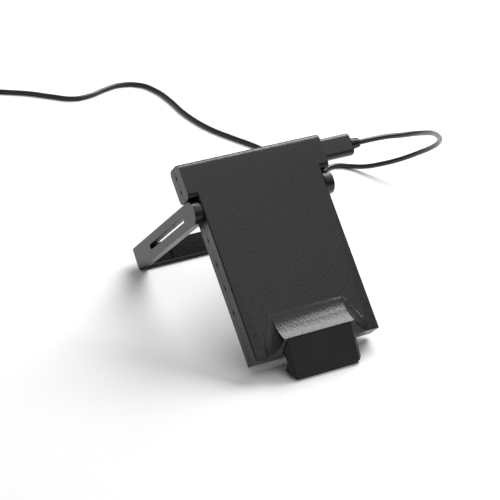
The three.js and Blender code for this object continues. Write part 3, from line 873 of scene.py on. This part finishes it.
sleeve_low, sleeve_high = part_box("strain_relief")
sleeve_axis = (sleeve_low + sleeve_high) / 2
sleeve_outline = [
    (0.0, 0.0018),
    (0.0, 0.0037),
    (0.0014, 0.0037),
    (0.0015, 0.0031),
    (0.0019, 0.0031),
    (0.002, 0.0035),
    (0.0029, 0.0034),
    (0.003, 0.0029),
    (0.0034, 0.0029),
    (0.0035, 0.0033),
    (0.0044, 0.0031),
    (0.0045, 0.0026),
    (0.0048, 0.0026),
    (0.0049, 0.0031),
    (0.0059, 0.0029),
    (0.0059, 0.0018),
]
sleeve = bmesh.new()
outline = [
    sleeve.verts.new((sleeve_low.x + along, sleeve_axis.y, sleeve_axis.z + radius))
    for along, radius in sleeve_outline
]
rim = [sleeve.edges.new(pair) for pair in zip(outline, outline[1:] + outline[:1])]
bmesh.ops.spin(
    sleeve,
    geom=outline + rim,
    cent=sleeve_axis,
    axis=(1, 0, 0),
    dvec=(0, 0, 0),
    angle=2 * math.pi,
    steps=40,
    use_merge=True,
)
bmesh.ops.remove_doubles(sleeve, verts=sleeve.verts, dist=1e-6)
bmesh.ops.recalc_face_normals(sleeve, faces=sleeve.faces)
finished(
    "plug_strain_relief",
    sleeve,
    jacket,
    "usb_cable",
    replaced=["strain_relief"],
)

# ---- Strap on the spare length ----
# A woven hook-and-loop strap folded over the wound cable, soft and matt.


def woven_strap(name, colour):
    """Narrow woven tape: crossed ribs of two wave patterns, painted shade where the threads dip and a
    painted highlight where they rise, a dull sheen, and fuzz.
    """
    material, tree, shader = new_material(name, "Tape")
    links = tree.links
    shader.inputs["Roughness"].default_value = 0.85
    shader.inputs["Sheen Weight"].default_value = 0.3
    place = add_node(tree, "ShaderNodeTexCoord", "Place on the strap", (-1100, 0))
    weave_frame = add_node(tree, "NodeFrame", "Weave")
    warp = add_node(tree, "ShaderNodeTexWave", "Warp ribs", (-850, 150), weave_frame)
    warp.bands_direction = "Y"
    warp.inputs["Scale"].default_value = 420
    weft = add_node(tree, "ShaderNodeTexWave", "Weft ribs", (-850, -150), weave_frame)
    weft.bands_direction = "X"
    weft.inputs["Scale"].default_value = 520
    crossed = add_node(tree, "ShaderNodeMath", "Warp over weft", (-600, 0), weave_frame)
    crossed.operation = "MULTIPLY"
    # Painted shade and highlight: the colour follows the same weave value as the bump, darker where the
    # threads dip and paler where they rise.
    tone = add_node(tree, "ShaderNodeValToRGB", "Thread tone with painted shade and highlight", (-400, 150))
    tone.color_ramp.elements[0].color = tuple(c * 0.5 for c in colour) + (1,)
    tone.color_ramp.elements[1].color = tuple(c * 1.6 for c in colour) + (1,)
    bump = add_node(tree, "ShaderNodeBump", "Thread height", (-400, -200))
    bump.inputs["Strength"].default_value = 0.5
    bump.inputs["Distance"].default_value = 0.0001
    links.new(place.outputs["Object"], warp.inputs["Vector"])
    links.new(place.outputs["Object"], weft.inputs["Vector"])
    links.new(warp.outputs["Fac"], crossed.inputs[0])
    links.new(weft.outputs["Fac"], crossed.inputs[1])
    links.new(crossed.outputs["Value"], tone.inputs["Fac"])
    links.new(crossed.outputs["Value"], bump.inputs["Height"])
    links.new(tone.outputs["Color"], shader.inputs["Base Color"])
    links.new(bump.outputs["Normal"], shader.inputs["Normal"])
    return material


strap_tape = woven_strap("strap_tape", (0.02, 0.02, 0.021))
finished(
    "coil_strap",
    merged_copy("cable_strap"),
    strap_tape,
    "usb_cable",
    replaced=["cable_strap"],
    edge=0.0003,
)

# ---- Far plug ----
# The cable's other end, out of sight on the table: a larger grip, a folded steel shell with two
# small raised plates on top, and a white insert with four contacts.
insert_plastic = speckled("insert_plastic", (0.8, 0.8, 0.78), (0.72, 0.72, 0.7), 1500, 0.4, 0.3)
for node, piece_name, matter, far_slot, edge in (
    ("usb_a_strain_relief", "far_strain_relief", jacket, "cable_jacket", 0.0003),
    ("usb_a_plug", "far_grip", plug_plastic, "plug_plastic", 0.0008),
    ("usb_a_tongue", "far_tongue", insert_plastic, "insert_plastic", 0.0001),
):
    finished(
        piece_name,
        merged_copy(node),
        matter,
        "usb_cable",
        replaced=[node],
        edge=edge,
    )

shell_low, shell_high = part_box("usb_a_shell")
far_shell = merged_copy("usb_a_shell")
plate_size = (0.0025, 0.002, 0.0002)
plate_offset = 0.0028
plate_back = 0.0098
for side in (-1, 1):
    plate = bmesh.ops.create_cube(far_shell, size=1)
    bmesh.ops.scale(far_shell, vec=plate_size, verts=plate["verts"])
    bmesh.ops.translate(
        far_shell,
        vec=(
            (shell_low.x + shell_high.x) / 2 + side * plate_offset,
            shell_low.y + plate_back,
            shell_high.z,
        ),
        verts=plate["verts"],
    )
finished(
    "far_shell",
    far_shell,
    plug_steel,
    "usb_cable",
    replaced=["usb_a_shell"],
    edge=0.0001,
)
tongue_low, tongue_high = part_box("usb_a_tongue")
contact_size = (0.001, 0.0075, 0.00016)
contact_spacing = 0.0024
contact_back = 0.0052
contact_lift = 0.00002
contacts = bmesh.new()
for place in (-1.5, -0.5, 0.5, 1.5):
    contact = bmesh.ops.create_cube(contacts, size=1)
    bmesh.ops.scale(contacts, vec=contact_size, verts=contact["verts"])
    bmesh.ops.translate(
        contacts,
        vec=(
            (tongue_low.x + tongue_high.x) / 2 + place * contact_spacing,
            tongue_low.y + contact_back,
            tongue_high.z + contact_lift,
        ),
        verts=contact["verts"],
    )
gilt = plated_metal("gilt", (0.85, 0.62, 0.28), 0.24, 2200)
finished("far_contacts", contacts, gilt, "usb_cable")
